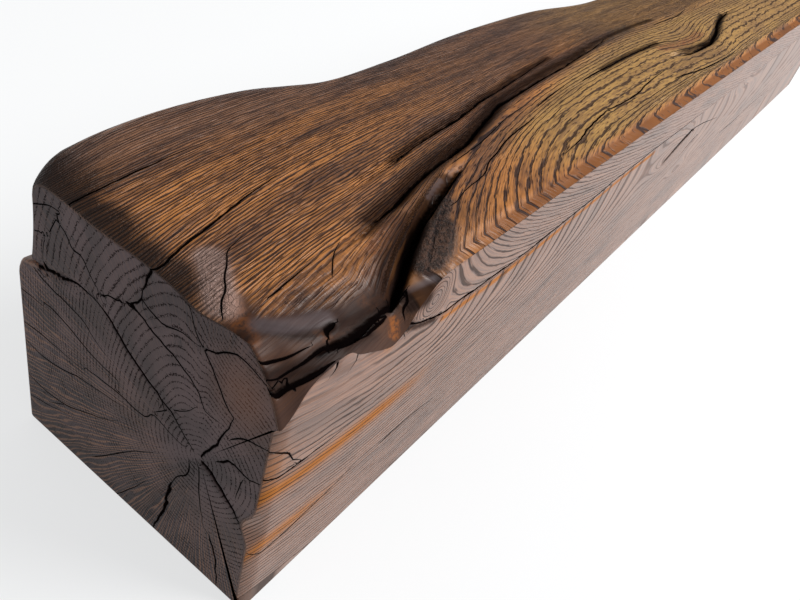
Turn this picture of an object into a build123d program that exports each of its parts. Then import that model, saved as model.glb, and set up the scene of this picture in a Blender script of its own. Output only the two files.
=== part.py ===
from build123d import *
import os

# Reclaimed oak beam: one length of boxed-heart oak, sawn on the bottom, front and back.
# The top is crowned and its back edge keeps the wandering natural edge of the log.
# Frame: X along the beam with the near end at -X, front face at -Y, +Z up.
# The origin is the middle of the bottom face.

# Overall sizes, in millimetres
beam_length = 1220.0
beam_width = 151.0
beam_height = 161.5      # crest of the crowned top
sawn_easing = 2.0        # worn edges along the bottom

# Front arris of the top
arris_drop = 14.0        # how far the top of the front face lies below the crest
arris_width = 9.0        # width of the worn band along the arris
arris_rise = 3.5         # how much that band climbs
arris_wave = 5.0         # how much the arris lifts where the grain swells
crown_share = 0.6        # share of the crown's climb that is reached half way across

# Natural edge along the top of the back
lip_height = 105.0       # where the sawn back face ends
lip_slope = 5.0          # how far the lip's worn shoulder drops towards the back
wane_least = 2.5         # inset of the natural edge where it swells most
wane_depth = 8.5         # how much further it draws in at its hollows
wane_foot = 3.0          # how much the foot of the natural edge is cut under
wane_radius = 10.0       # rounding between the natural edge and the top
crest_dip = 5.5          # how far the top sinks at those hollows

# Rounded ends of the top
end_round_length = 20.0
end_round_drop = 11.5

# Worn front corner of the near end, fading out along the arris
corner_reach = 26.0
corner_drop = 13.0
corner_length = 78.0
corner_runout = 40.0

# Heart of the tree, seen on the near end
pith_from_front = 35.0
pith_height = 75.0

# Fissure that climbs from the front arris into the top
fissure_start = 56.0
fissure_length = 122.0
fissure_reach = 44.0
fissure_width = 13.0
fissure_depth = 21.0

# Ragged hollow under the fissure, in the top of the front face
hollow_start = 42.0
hollow_length = 42.0
hollow_drop = 22.5       # how far its floor lies below the arris
hollow_width = 22.0
hollow_depth = 22.0

# Soft valley that drifts across the top
valley_start = 83.0
valley_length = 384.0
valley_from_front = 38.0
valley_drift = 50.0
valley_width = 9.0
valley_depth = 4.5

# Split further along the top
split_start = 508.0
split_length = 248.0
split_from_front = 42.0
split_drift = 18.0
split_width = 6.0
split_depth = 12.0

# Shake along the front face, from the hollow onwards
shake_length = 340.0
shake_drop = 28.0        # how far its far end lies below the arris
shake_width = 2.0
shake_depth = 14.0

# Drying cracks that run out from the heart on the near end
side_crack_width = 4.0
front_crack_width = 3.6
bottom_crack_width = 4.0
crown_crack_width = 2.4
front_crack_height = 50.0
bottom_crack_from_front = 58.0
crown_crack_from_front = 54.0
end_crack_depth = 24.0
heart_width = 4.0        # rotted heart where the cracks meet
heart_height = 5.2

# Cracks narrow to this share of their width at their floor
floor_share = 0.25

# How far a cutting shape stands clear of the wood
clear = 6.0

near_end = -beam_length / 2
front = -beam_width / 2
back = beam_width / 2
arris_height = beam_height - arris_drop
hollow_floor = arris_height - hollow_drop
shake_height = arris_height - shake_drop
pith = (front + pith_from_front, pith_height)

# Waves along the beam: share of the length, of the wane's depth, of the crest's dip, of the arris's lift
waves = [
    (0.000, 1.00, 0.30, 0.0),
    (0.024, 0.35, 0.05, 0.0),
    (0.050, 0.00, 0.00, 0.0),
    (0.093, 0.05, 0.05, 0.0),
    (0.146, 0.55, 1.00, 0.0),
    (0.192, 0.48, 0.80, 0.0),
    (0.253, 0.18, 0.27, 0.2),
    (0.353, 0.06, 0.05, 0.4),
    (0.446, 0.42, 0.75, 0.8),
    (0.520, 0.30, 0.40, 1.0),
    (0.610, 0.15, 0.20, 0.5),
    (0.710, 0.70, 0.85, 0.2),
    (0.810, 0.25, 0.25, 0.5),
    (0.900, 0.10, 0.10, 0.3),
    (0.960, 0.35, 0.30, 0.1),
    (1.000, 0.90, 0.50, 0.0),
]


def offcut_section(along, wane_inset, crest, arris):
    """What the log has lost above the crown and behind the natural edge, at one place."""
    edge = back - wane_inset
    over = beam_height + clear
    arris_out = (front - clear, arris - clear * arris_rise / arris_width)
    crown_start = (front + arris_width, arris + arris_rise)
    crown_end = (edge - wane_radius, crest)
    crown_middle = (
        (crown_start[0] + crown_end[0]) / 2,
        crown_start[1] + crown_share * (crown_end[1] - crown_start[1]),
    )
    wane_top = (edge, crest - wane_radius)
    wane_bottom = (edge - wane_foot, lip_height)
    lip_edge = (back, lip_height - lip_slope)
    lip_out = (back + clear, lip_height - lip_slope - clear)
    with BuildSketch(Plane.YZ.offset(along)) as section:
        with BuildLine():
            Line(arris_out, crown_start)
            ThreePointArc(crown_start, crown_middle, crown_end)
            RadiusArc(crown_end, wane_top, wane_radius)
            Polyline(wane_top, wane_bottom, lip_edge, lip_out, (back + clear, over))
            Polyline((back + clear, over), (front - clear, over), arris_out)
        make_face()
    return section.sketch


def crack_face(plane, start, end, bends, width):
    """Outline round a crack's middle line, which runs from start to end.

    Each bend is a share of the way, a shift to the left and a share of the width.
    """
    run = Vector(*end) - Vector(*start)
    left = Vector(-run.Y, run.X).normalized()
    middle = [(Vector(*start) + run * share + left * shift, part) for share, shift, part in bends]
    left_side = [point + left * (width * part / 2) for point, part in middle]
    right_side = [point - left * (width * part / 2) for point, part in middle]
    with BuildSketch(plane) as outline:
        with BuildLine():
            Polyline(Vector(*start), *left_side, Vector(*end), *reversed(right_side), close=True)
        make_face()
    return outline.sketch


def cut_crack(surface, depth, start, end, bends, width):
    """Cuts a crack that narrows from a surface plane to its floor, depth away along the plane's normal."""
    outward = -clear if depth > 0 else clear
    mouth_width = width * (1 + clear / abs(depth))
    mouth = crack_face(surface.offset(outward), start, end, bends, mouth_width)
    floor = crack_face(surface.offset(depth), start, end, bends, width * floor_share)
    loft(sections=[mouth, floor], ruled=True, mode=Mode.SUBTRACT)


# The beam
with BuildPart() as oak_beam:
    # Sawn block with eased edges along the bottom, a little taller than the finished crown
    with BuildSketch(Plane.YZ.offset(near_end)):
        with BuildLine():
            Polyline(
                (front + sawn_easing, 0),
                (back - sawn_easing, 0),
                (back, sawn_easing),
                (back, beam_height + clear / 2),
                (front, beam_height + clear / 2),
                (front, sawn_easing),
                close=True,
            )
        make_face()
    extrude(amount=beam_length)

    # Crowned top and natural back edge, with their waves
    offcut = [
        offcut_section(
            near_end - clear + share * (beam_length + 2 * clear),
            wane_least + wane_depth * wane_share,
            beam_height - crest_dip * dip_share,
            arris_height + arris_wave * lift_share,
        )
        for share, wane_share, dip_share, lift_share in waves
    ]
    loft(sections=offcut, mode=Mode.SUBTRACT)

    # Rounded ends of the top
    for end_side in (-1, 1):
        end_face = end_side * beam_length / 2
        round_start = end_face - end_side * end_round_length
        outside = end_face + end_side * clear
        round_foot = beam_height - end_round_drop
        over = beam_height + clear
        with BuildSketch(Plane.XZ.offset(-back - clear)):
            with BuildLine():
                EllipticalCenterArc(
                    (round_start, round_foot),
                    end_round_length,
                    end_round_drop,
                    start_angle=0 if end_side > 0 else 90,
                    arc_size=90,
                )
                Polyline(
                    (end_face, round_foot),
                    (outside, round_foot),
                    (outside, over),
                    (round_start, over),
                    (round_start, beam_height),
                )
            make_face()
        extrude(amount=beam_width + 2 * clear, mode=Mode.SUBTRACT)

    # Worn front corner of the near end, fading out along the arris
    corner_over = beam_height + clear
    corner_sections = []
    for along, fade in ((-clear, 1.0), (corner_length, 0.8), (corner_length + corner_runout, 0.1)):
        with BuildSketch(Plane.YZ.offset(near_end + along)) as corner_section:
            with BuildLine():
                Polyline(
                    (front - clear, arris_height - corner_drop * fade - clear),
                    (front + 0.3 * corner_reach * fade, arris_height - 0.3 * corner_drop * fade),
                    (front + corner_reach * fade, arris_height + arris_rise),
                    (front + corner_reach * fade, corner_over),
                    (front - clear, corner_over),
                    close=True,
                )
            make_face()
        corner_sections.append(corner_section.sketch)
    loft(sections=corner_sections, ruled=True, mode=Mode.SUBTRACT)

    # Fissure from the front arris into the top
    low_top = Plane.XY.offset(arris_height + arris_rise + 1.0)
    cut_crack(
        low_top,
        -fissure_depth,
        (near_end + fissure_start, front - clear),
        (near_end + fissure_start + fissure_length, front + fissure_reach),
        [(0.2, 1.0, 0.8), (0.45, 4.0, 1.0), (0.75, 4.0, 0.6)],
        fissure_width,
    )

    # Ragged hollow where the fissure comes out of the front face
    front_face = Plane.XZ.offset(-front)
    cut_crack(
        front_face,
        -hollow_depth,
        (near_end + hollow_start, hollow_floor + hollow_width / 2),
        (near_end + hollow_start + hollow_length, hollow_floor + hollow_width / 2),
        [(0.3, 3.0, 0.8), (0.6, 0.0, 1.0), (0.85, 3.0, 0.6)],
        hollow_width,
    )

    # Shake along the front face, from the hollow onwards
    shake_start = near_end + hollow_start + 0.7 * hollow_length
    cut_crack(
        front_face,
        -shake_depth,
        (shake_start, hollow_floor + hollow_width / 4),
        (shake_start + shake_length, shake_height),
        [(0.12, -8.5, 1.0), (0.25, -7.5, 1.0), (0.6, -2.5, 0.9)],
        shake_width,
    )

    # Soft valley that drifts across the top
    cut_crack(
        Plane.XY.offset(arris_height + arris_rise + valley_depth),
        -valley_depth,
        (near_end + valley_start, front + valley_from_front),
        (near_end + valley_start + valley_length, front + valley_from_front + valley_drift),
        [(0.16, 3.0, 1.0), (0.36, 5.0, 0.8), (0.58, 8.0, 0.8), (0.75, 4.0, 0.6)],
        valley_width,
    )

    # Split further along the top
    cut_crack(
        Plane.XY.offset(beam_height - crest_dip),
        -split_depth,
        (near_end + split_start, front + split_from_front),
        (near_end + split_start + split_length, front + split_from_front + split_drift),
        [(0.15, -9.0, 0.8), (0.38, -14.0, 1.0), (0.57, -9.0, 1.0), (0.7, -3.5, 0.8), (0.85, 0.4, 0.6)],
        split_width,
    )

    # Rotted heart on the near end
    end_plane = Plane.YZ.offset(near_end)
    with BuildSketch(end_plane):
        with Locations(pith):
            Ellipse(heart_width / 2, heart_height / 2)
    extrude(amount=end_crack_depth + clear, mode=Mode.SUBTRACT)

    # Drying cracks on the near end, from the heart to the lip, the front, the bottom and the top
    cut_crack(
        end_plane,
        end_crack_depth,
        (back + clear, lip_height),
        pith,
        [(0.15, -7.5, 0.6), (0.3, -18.0, 0.8), (0.41, -21.5, 1.0), (0.58, -14.0, 1.0), (0.77, -9.0, 0.8)],
        side_crack_width,
    )
    cut_crack(
        end_plane,
        end_crack_depth,
        pith,
        (front - clear, front_crack_height),
        [(0.25, 3.0, 1.0), (0.55, 2.0, 0.9)],
        front_crack_width,
    )
    cut_crack(
        end_plane,
        end_crack_depth,
        pith,
        (front + bottom_crack_from_front, -clear),
        [(0.27, 0.5, 0.7), (0.51, 2.4, 0.9), (0.85, 0.4, 1.0)],
        bottom_crack_width,
    )
    cut_crack(
        end_plane,
        end_crack_depth,
        pith,
        (front + crown_crack_from_front, beam_height),
        [(0.2, 10.0, 1.0), (0.37, 20.0, 1.0), (0.65, 11.5, 0.8), (0.82, 4.5, 0.7)],
        crown_crack_width,
    )

# Name and file of the finished piece
oak_beam.part.label = "oak_beam"
os.makedirs("parts", exist_ok=True)
export_step(oak_beam.part, "parts/oak_beam.step")
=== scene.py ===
import bpy
import math
import numpy as np
from mathutils import Matrix, Vector


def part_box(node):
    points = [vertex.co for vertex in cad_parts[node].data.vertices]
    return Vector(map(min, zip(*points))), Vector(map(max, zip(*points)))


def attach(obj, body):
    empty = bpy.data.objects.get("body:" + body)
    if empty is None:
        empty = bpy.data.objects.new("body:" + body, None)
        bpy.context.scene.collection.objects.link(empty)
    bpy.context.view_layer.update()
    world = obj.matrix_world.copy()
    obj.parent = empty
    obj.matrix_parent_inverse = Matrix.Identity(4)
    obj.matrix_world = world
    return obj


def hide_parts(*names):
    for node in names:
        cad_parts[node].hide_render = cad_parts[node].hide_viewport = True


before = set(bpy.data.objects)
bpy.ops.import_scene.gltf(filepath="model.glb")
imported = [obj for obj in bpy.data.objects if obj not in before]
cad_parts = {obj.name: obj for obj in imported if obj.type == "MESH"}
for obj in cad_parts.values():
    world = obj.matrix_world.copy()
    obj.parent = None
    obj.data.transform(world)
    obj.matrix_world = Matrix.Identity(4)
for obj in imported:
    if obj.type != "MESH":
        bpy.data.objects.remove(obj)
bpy.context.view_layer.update()  # one node, oak_beam, on the body root
print("stage: frame loaded")

# Shapes are worked out in millimetres in the beam's corner frame: x from the near end, y from the
# front face towards the back, z up from the floor. They are moved to the row's frame when written.
mm = 0.001
nodeLow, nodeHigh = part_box("oak_beam")
beamLength = (nodeHigh.x - nodeLow.x) / mm
beamWidth = (nodeHigh.y - nodeLow.y) / mm
beamHeight = nodeHigh.z / mm

# Camera, found from the vanishing points of the beam's edges; its place is in the corner frame
camera = {
    "place": (-142.7, -94.2, 325.0),
    "azimuth": -65.0,
    "elevation": 37.75,
    "roll": 17.9,
    "focalPixels": 747.5,
    "pictureWidth": 800,
    "sensorWidth": 36.0,
    "readingHeight": 146.7,  # height of the level plane on which places on the top were read
}

# The beam's main shape, as in its solid
shape = {
    "arrisHeight": 147.5,
    "arrisWidth": 9.0,
    "arrisRise": 3.5,
    "arrisWave": 5.0,
    "crownShare": 0.6,
    "crest": beamHeight - 0.6,
    "crestDip": 5.5,
    "lipHeight": 105.0,
    "waneLeast": 4.0,
    "waneDepth": 9.5,
    "waneFoot": 3.0,
    "waneRadius": 9.0,
    "edgeRadius": 1.4,
    "notchRise": 6.0,
    "notchDepth": 4.5,
    "notchWave": 1.5,
    "lipDrop": 9.0,
    "endRound": 15.0,
    "endTop": 150.0,
    "farEndTop": 149.0,
    "endDip": (2.2, 43, 9),  # depth, place across and reach of the dip in the near end's rim
    "endRipple": 0.5,
    "cornerReach": 26.0,
    "cornerWear": 7.0,
    # share of the length, of the wane's depth, of the crest's dip, of the arris's lift
    "waves": [
        (0.000, 1.00, 0.30, 0.0), (0.024, 0.35, 0.05, 0.0), (0.050, 0.00, 0.00, 0.0),
        (0.093, 0.05, 0.05, 0.0), (0.146, 0.55, 1.00, 0.0), (0.192, 0.48, 0.80, 0.0),
        (0.253, 0.18, 0.27, 0.2), (0.353, 0.06, 0.05, 0.4), (0.446, 0.42, 0.75, 0.8),
        (0.520, 0.30, 0.40, 1.0), (0.610, 0.15, 0.20, 0.5), (0.710, 0.70, 0.85, 0.2),
        (0.810, 0.25, 0.25, 0.5), (0.900, 0.10, 0.10, 0.3), (0.960, 0.35, 0.30, 0.1),
        (1.000, 0.90, 0.50, 0.0),
    ],
    # how low the front face ends near the worn corner: distance from the end, height
    "wornTop": [
        (0, 122), (4, 125), (7, 129), (10, 134), (15, 138), (22, 139.5), (34, 140), (42, 134),
        (50, 130), (60, 125), (69, 123), (75, 127), (80, 135), (86, 141), (93, 145.5), (104, 147.5),
    ],
}

# The tree inside the beam: where its heart runs, and how the rings show on each face. A list of
# pairs gives the value at each place along the beam, unless a note says otherwise.
tree = {
    "heartY": [
        (0, 35), (100, 47), (200, 58), (300, 68), (450, 76), (600, 80), (900, 86), (beamLength, 80),
    ],
    "heartZ": [
        (0, 75), (150, 73), (300, 76), (450, 72), (600, 76), (800, 70), (1000, 77), (beamLength, 72),
    ],
    "ringWidth": 2.4,
    # where rings begin to climb over the top and to drop down the front, and how many have met the
    # arris at each place from there on
    "topStart": 60.0,
    "frontStart": 40.0,
    "arrisRings": [
        (40, -3), (60, 0), (90, 1), (120, 3), (150, 6), (200, 10), (250, 12.5), (300, 14.5), (350, 16),
        (400, 17.5), (500, 20), (600, 22.5), (900, 27), (beamLength, 31),
    ],
    # a ring that meets the arris at x climbs over the top by this rise, within this run
    "topRise": [
        (60, 78), (100, 75), (140, 64), (170, 55), (200, 40), (230, 26), (255, 17), (290, 12),
        (330, 9), (400, 7), (600, 7), (beamLength, 7),
    ],
    "topRun": [
        (60, 130), (100, 130), (140, 105), (170, 85), (200, 70), (230, 55), (255, 45), (290, 40),
        (beamLength, 40),
    ],
    # and drops down the front face by this much, within this run
    "frontDrop": [
        (100, 26), (105, 25), (120, 24), (140, 22), (170, 18), (200, 14), (250, 10), (300, 6),
        (beamLength, 6),
    ],
    "frontRun": [(100, 12), (105, 14), (120, 24), (140, 45), (170, 55), (200, 60), (beamLength, 60)],
    "frontSlope": 0.12,
    # round rings at the tip of the lump beside the fissure: the ring they start from, and their size
    "tipStart": 105.0,
    "tipMiddle": (93, 135),
    "tipReach": 16.7,
    "tipSpacing": 2.1,
    "tipFade": (98, 112),
    # lower half of the front face: how far each ring loop reaches, by its place along the beam
    "loopReach": [
        (-20, 0), (80, 0), (95, 0), (110, 10), (130, 20), (145, 26), (165, 32), (180, 35), (225, 45),
        (290, 58), (350, 67), (400, 73), (600, 88), (beamLength, 118),
    ],
    # and how far the loops are lifted towards the near end
    "loopLift": [
        (-10, 22), (0, 16), (12, 12), (25, 8.5), (36, 6.5), (45, 4.5), (58, 2.2), (80, 0.4), (95, 0),
        (beamLength, 0),
    ],
    "loopTop": 118.0,
    "loopSoft": 9.0,
    "loopStart": 1.7,
    "loopRings": [(0, 0), (35, 9.2), (120, 41.9)],  # rings counted by the size of a loop
    # how far the top's grain is pushed round the knot at the split: push, middle (x, y), reach each way
    "topKnot": (13, (615, 52), (62, 30)),
    # and the front's loops round its knots: push, middle (x, z), reach each way
    "frontKnots": [(-14, (475, 93), (46, 15)), (-7, (545, 56), (30, 9)), (5, (690, 125), (70, 20))],
    # height of the shake, above which the front face shows the arris rings
    "shake": [
        (55, 150), (64, 144), (68, 139), (74, 135), (80, 130), (88, 126), (100, 120), (112, 118.2),
        (130, 117.8), (150, 116.5), (200, 115), (260, 117), (345, 119), (450, 119), (beamLength, 119),
    ],
    # lines of the grain on the top behind the arris rings: ring number and points on the level plane
    "topLines": [
        (2, [(-30, -2), (20, 4), (55, 7), (66, 9), (75, 12), (85, 17), (95, 22), (120, 32), (150, 42),
             (188, 50), (230, 62), (300, 75), (400, 85), (500, 89), (600, 88), (700, 89), (800, 95),
             (beamLength, 92)]),
        (7, [(-30, 24), (0, 30), (50, 40), (95, 46), (110, 48), (145, 54), (180, 60), (220, 66), (260, 76),
             (300, 83), (360, 89), (440, 95), (500, 99), (600, 100), (700, 99), (800, 104),
             (beamLength, 102)]),
        (14, [(-30, 50), (0, 57), (50, 64), (100, 69), (160, 75), (200, 80), (240, 84), (300, 91.5),
              (360, 98), (430, 103), (500, 107), (600, 108), (800, 111), (beamLength, 109)]),
        (20, [(-30, 64), (0, 70), (20, 76), (45, 82), (75, 88), (120, 94), (170, 98), (240, 102), (300, 106),
              (400, 112), (500, 115), (700, 117), (beamLength, 116)]),
        (34, [(-30, 113), (3, 120), (20, 122.5), (60, 128), (100, 132), (150, 136), (200, 137), (300, 138),
              (400, 141), (500, 142), (beamLength, 140)]),
        (44, [(-30, 130), (0, 140), (50, 157), (100, 163), (200, 164), (beamLength, 165)]),
    ],
    # near end: line of the main crack (y, z), above which the rings are wide; how far the rings are
    # stretched upwards; and the rings counted by the distance from the heart, below and above that line
    "wideAbove": [(35, 75), (45, 82), (60, 91), (80, 102), (98, 115), (112, 115), (128, 110), (151, 104)],
    "endStretch": 0.42,
    "denseRings": [(0, 0), (50, 19.5), (85, 36), (170, 86)],
    "wideRings": [(0, 0), (30, 13.5), (60, 23.5), (170, 56)],
}

# Open grooves with soft shoulders: width to the front side, width to the back side, depth,
# and the line read on the level plane (x, y)
topGrooves = [
    {"front": 3.4, "back": 13.0, "depth": 12.5, "points": [
        (56, 1), (62, 3), (70, 7), (79, 11), (89, 15.5), (100, 21), (111, 25.5), (121, 30), (133, 33.5),
        (148, 37.5), (162, 41.5), (180, 46), (195, 49)]},
    {"front": 8.0, "back": 7.0, "depth": 7.0, "points": [
        (75, 41), (90, 43), (110, 47), (130, 50), (145, 54), (160, 57), (180, 60), (200, 62), (220, 65),
        (240, 70), (260, 75), (280, 80), (300, 82), (330, 85), (360, 88), (400, 90), (440, 94),
        (480, 97), (520, 98)]},
    {"front": 5.0, "back": 5.0, "depth": 4.2, "points": [
        (110, 65), (130, 69), (160, 73), (180, 77), (200, 79), (240, 83), (270, 88), (300, 91), (330, 95),
        (360, 98), (395, 100)]},
    {"front": 6.0, "back": 7.0, "depth": 6.5, "points": [
        (525, 52), (540, 49), (560, 44), (580, 42), (620, 41), (640, 41), (660, 45), (690, 50),
        (720, 58), (760, 65), (830, 68)]},
]

# Cracks on the top, read on the level plane (x, y): full width, points
topCracks = [
    (3.0, [(60, 3), (70, 7), (79, 11), (89, 15.5), (100, 21), (111, 25.5), (121, 30), (133, 33.5),
           (148, 37.5), (162, 41.5), (180, 46)]),
    (2.0, [(110, 47), (130, 50), (145, 54), (160, 57), (180, 60), (200, 62), (220, 65), (240, 70),
           (260, 75), (280, 80), (300, 82), (330, 85), (360, 88), (400, 90), (440, 94), (500, 98)]),
    (1.4, [(160, 73), (200, 79), (240, 83), (270, 88), (300, 91), (330, 95), (390, 100)]),
    (1.0, [(280, 54.5), (270, 53.5), (250, 51), (230, 48), (215, 44), (200, 41), (190, 36.5), (176, 34.5),
           (164, 33), (151, 30), (141, 28)]),
    (1.0, [(300, 62), (330, 66), (360, 69)]),
    (1.5, [(380, 65), (420, 67), (450, 68), (480, 68.5), (520, 68), (550, 68), (565, 66), (585, 60),
           (600, 62)]),
    (0.7, [(180, 52), (200, 54), (230, 58), (260, 64), (290, 67)]),
    (1.2, [(350, 32), (320, 29), (305, 27), (290, 24), (255, 20)]),
    (1.2, [(350, 32), (400, 31), (440, 35), (490, 38)]),
    (3.4, [(540, 49), (560, 44), (580, 42), (620, 41), (640, 41), (660, 45), (690, 50), (720, 58),
           (760, 65), (800, 68)]),
    (1.4, [(600, 90), (640, 90), (680, 90), (720, 95)]),
    (1.4, [(480, 26), (500, 24), (530, 20), (560, 18), (600, 16), (640, 17)]),
    (1.25, [(-4, 69), (0, 70), (10, 72), (20, 75.5), (30, 78), (45, 82), (60, 86), (75, 89), (90, 92)]),
    (1.0, [(-5, 117), (3, 120), (12, 121), (20, 122.5), (35, 125), (60, 128), (80, 130)]),
    (0.8, [(5, 37), (11, 44), (17, 48), (21, 53), (27, 58), (33, 64), (45, 68)]),
    (0.8, [(25, 35), (40, 37.5), (55, 40)]),
    (0.6, [(55, 29), (60, 33), (65, 37), (75, 42)]),
    (1.5, [(-2, 20), (-2, 16), (1, 13), (4, 11.5), (9, 10), (14, 9), (18, 8.5)]),
    (2.0, [(74, 6), (66, 5), (58, 4), (49, 3), (41, 3), (33, 2), (28, 3), (24, 4.5), (13, 5), (7, 5), (0, 5),
           (-4, 6.5), (-7, 9)]),
    (4.2, [(24, 4), (33, 2.5), (44, 3), (58, 4)]),
    (1.6, [(54, 1), (44, 0), (34, 0), (26, 1)]),
    (2.4, [(2, 0), (-4, 1), (-8, 1), (-10, 4), (-10, 8), (-10, 11)]),
    (2.2, [(-2, 1), (5, -0.5), (10, -1.5), (15, -1.5), (20, -2)]),
    (1.2, [(74, 6), (68, 1), (62, -1), (58, -5)]),
    (2.2, [(35, 11), (32, 11), (29, 10), (27, 7)]),
]

# Cracks on the front face (x, z): full width, points
frontCracks = [
    (1.3, [(67, 141), (69, 136), (74, 131), (80, 128), (90, 124), (99, 121), (108, 118.5), (122, 118),
           (150, 116.5), (180, 115), (200, 115), (230, 116), (260, 117), (290, 117.5), (320, 119),
           (345, 119), (400, 119.5), (440, 119), (520, 119)]),
    (2.6, [(66, 142), (68, 136), (74, 131), (82, 127)]),
    (1.6, [(62, 155), (66, 147), (65, 143), (69, 136), (71, 131), (75, 124)]),
    (1.0, [(50, 140), (44, 139), (40, 137), (40, 133), (37, 130)]),
    (1.3, [(25, 144), (27, 138), (24, 135)]),
    (1.2, [(-10, 149), (-7, 143), (-4, 139), (-4, 133)]),
    (0.9, [(-4, 94), (5, 92), (20, 90), (50, 88)]),
    (0.8, [(0, 42), (10, 40), (40, 41), (55, 43), (70, 46), (80, 45.5)]),
    (0.9, [(88, 43), (100, 43), (112, 43), (140, 39)]),
    (0.8, [(0, 110), (8, 105), (12, 98), (18, 92)]),
    (3.0, [(520, 103), (500, 101), (480, 95), (465, 90)]),
    (1.4, [(560, 88), (540, 84), (520, 76)]),
    (0.9, [(510, 105), (550, 101), (600, 93), (620, 90)]),
    (0.9, [(700, 52), (760, 50), (840, 53), (930, 50)]),
]

# Cracks on the near end (y, z): full width, points
endCracks = [
    (1.74, [(147, 105), (143, 107), (135, 108), (128, 110), (120, 112), (112, 115), (105, 116), (98, 115)]),
    (1.18, [(98, 115), (90, 110), (80, 102), (70, 96), (60, 91), (50, 87), (45, 82), (40, 78), (35, 75)]),
    (1.74, [(35, 75), (25, 69), (15, 63), (8, 57)]),
    (1.05, [(35, 75), (33, 80), (28, 90), (25, 98), (22, 107), (21, 112)]),
    (0.74, [(21, 112), (25, 115), (30, 122), (36, 130), (40, 134), (43, 137), (46, 143), (48, 147),
            (52, 151)]),
    (0.81, [(40, 134), (35, 135), (30, 139), (25, 142), (20, 142), (12, 140), (6, 137)]),
    (1.36, [(68, 152), (69, 148), (70, 146), (72, 138)]),
    (0.93, [(72, 138), (72, 134), (75, 130), (80, 127), (85, 124), (92, 122), (98, 118), (98, 115)]),
    (0.74, [(72, 134), (66, 131), (60, 130), (52, 133), (42, 133)]),
    (0.93, [(85, 125), (76, 126), (65, 122), (55, 119), (47, 116), (42, 113), (38, 108), (35, 104),
            (28, 104)]),
    (0.81, [(40, 68), (40, 60), (45, 54), (49, 45)]),
    (1.86, [(49, 45), (51, 35), (52, 25), (54, 15), (57, 5), (59, -1)]),
    (0.62, [(36, 72), (35, 70), (33, 55), (30, 43), (28, 35), (24, 33)]),
    (1.05, [(24, 33), (20, 22), (17, 10), (15, -1)]),
    (0.68, [(148, 55), (140, 54), (125, 56), (110, 61), (95, 64), (80, 67)]),
    (0.56, [(151, 86.5), (135, 87)]),
    (0.74, [(135, 90), (122, 89), (110, 85), (105, 83), (95, 81), (84, 79), (84, 73)]),
    (0.62, [(151, 66), (140, 68), (125, 68), (110, 68)]),
    (0.68, [(105, 71), (95, 72), (85, 73), (75, 72), (65, 74), (64, 77), (50, 75), (43, 75), (41, 79)]),
    (0.74, [(142, 106), (130, 102), (115, 100), (105, 97), (100, 93), (92, 89)]),
    (0.62, [(151, 32), (135, 31), (120, 34), (105, 42), (95, 47), (85, 54)]),
    (0.5, [(151, 17), (140, 20), (120, 28)]),
    (0.62, [(102, 13), (90, 25), (80, 37), (70, 47), (60, 55)]),
    (0.5, [(85, 0), (78, 10), (70, 22), (65, 30)]),
    (0.99, [(26, 82), (20, 88), (12, 87), (5, 89), (2, 90)]),
    (0.74, [(21, 100), (15, 106), (10, 108), (5, 109), (1, 110)]),
    (0.62, [(139, 138), (130, 142), (127, 144), (121, 145), (118, 151)]),
    (0.56, [(119, 145), (122, 140), (126, 132), (131, 122), (132, 112)]),
    (0.56, [(139, 125), (132, 128), (127, 131)]),
    (0.68, [(122, 140), (115, 136), (112, 131), (107, 132), (103, 127), (98, 122), (92, 119)]),
    (0.56, [(62, 80), (52, 90), (44, 96), (40, 102)]),
    (0.5, [(12, 84), (13, 78), (14, 70)]),
]

# how far each short step of a crack jumps sideways
crackJump = {"top": 0.12, "front": 0.15, "end": 0.28}
noneNear = 99.0  # distance given where no crack is near

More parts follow.
